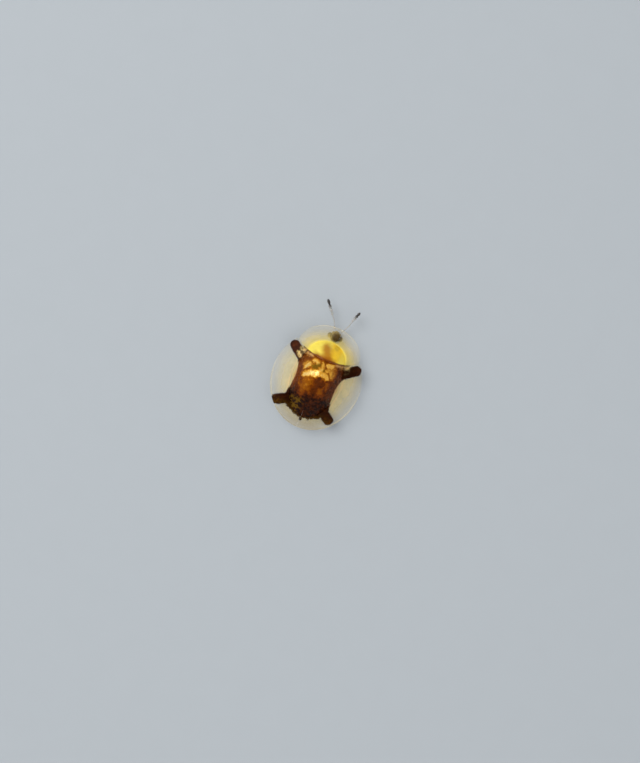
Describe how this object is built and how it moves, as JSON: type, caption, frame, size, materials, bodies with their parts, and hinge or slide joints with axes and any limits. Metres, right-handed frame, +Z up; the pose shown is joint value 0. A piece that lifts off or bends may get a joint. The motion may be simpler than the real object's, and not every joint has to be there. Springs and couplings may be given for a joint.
{
  "type": "tortoise beetle",
  "caption": "Golden tortoise beetle, life size: a domed shield with wide clear margins and dark corner bars, antennae held forward, standing on its drawn-in legs.",
  "frame": {"origin": "on the floor, under the middle of the box round the beetle, antennae included", "axes": "-Y the way the head points, +X towards the beetle's left side, +Z up from the floor"},
  "size_m": [0.0102, 0.0146, 0.0052],
  "materials": {
    "gold_shell": "gloss, metallic gold",
    "bronze_shell": "gloss, gold in front to dark brown behind",
    "clear_margin": "clear, faintly yellow, with dark bars",
    "amber_cuticle": "satin",
    "dark_cuticle": "satin",
    "eye": "gloss"
  },
  "bodies": {
    "root": {"pronotum": "gold_shell", "elytron_left": "bronze_shell", "elytron_right": "bronze_shell", "scutellum": "bronze_shell", "elytron_margin_left": "clear_margin", "elytron_margin_right": "clear_margin", "pronotum_margin": "clear_margin", "head": "amber_cuticle", "prosternum": "amber_cuticle", "antenna_left": "amber_cuticle", "antenna_right": "amber_cuticle", "femur_front_left": "amber_cuticle", "tibia_front_left": "amber_cuticle", "tarsus_front_left": "amber_cuticle", "femur_front_right": "amber_cuticle", "tibia_front_right": "amber_cuticle", "tarsus_front_right": "amber_cuticle", "femur_middle_left": "amber_cuticle", "tibia_middle_left": "amber_cuticle", "tarsus_middle_left": "amber_cuticle", "femur_middle_right": "amber_cuticle", "tibia_middle_right": "amber_cuticle", "tarsus_middle_right": "amber_cuticle", "femur_hind_left": "amber_cuticle", "tibia_hind_left": "amber_cuticle", "tarsus_hind_left": "amber_cuticle", "femur_hind_right": "amber_cuticle", "tibia_hind_right": "amber_cuticle", "tarsus_hind_right": "amber_cuticle", "thorax": "dark_cuticle", "abdomen": "dark_cuticle", "eye_left": "eye", "eye_right": "eye"}
  },
  "joints": []
}
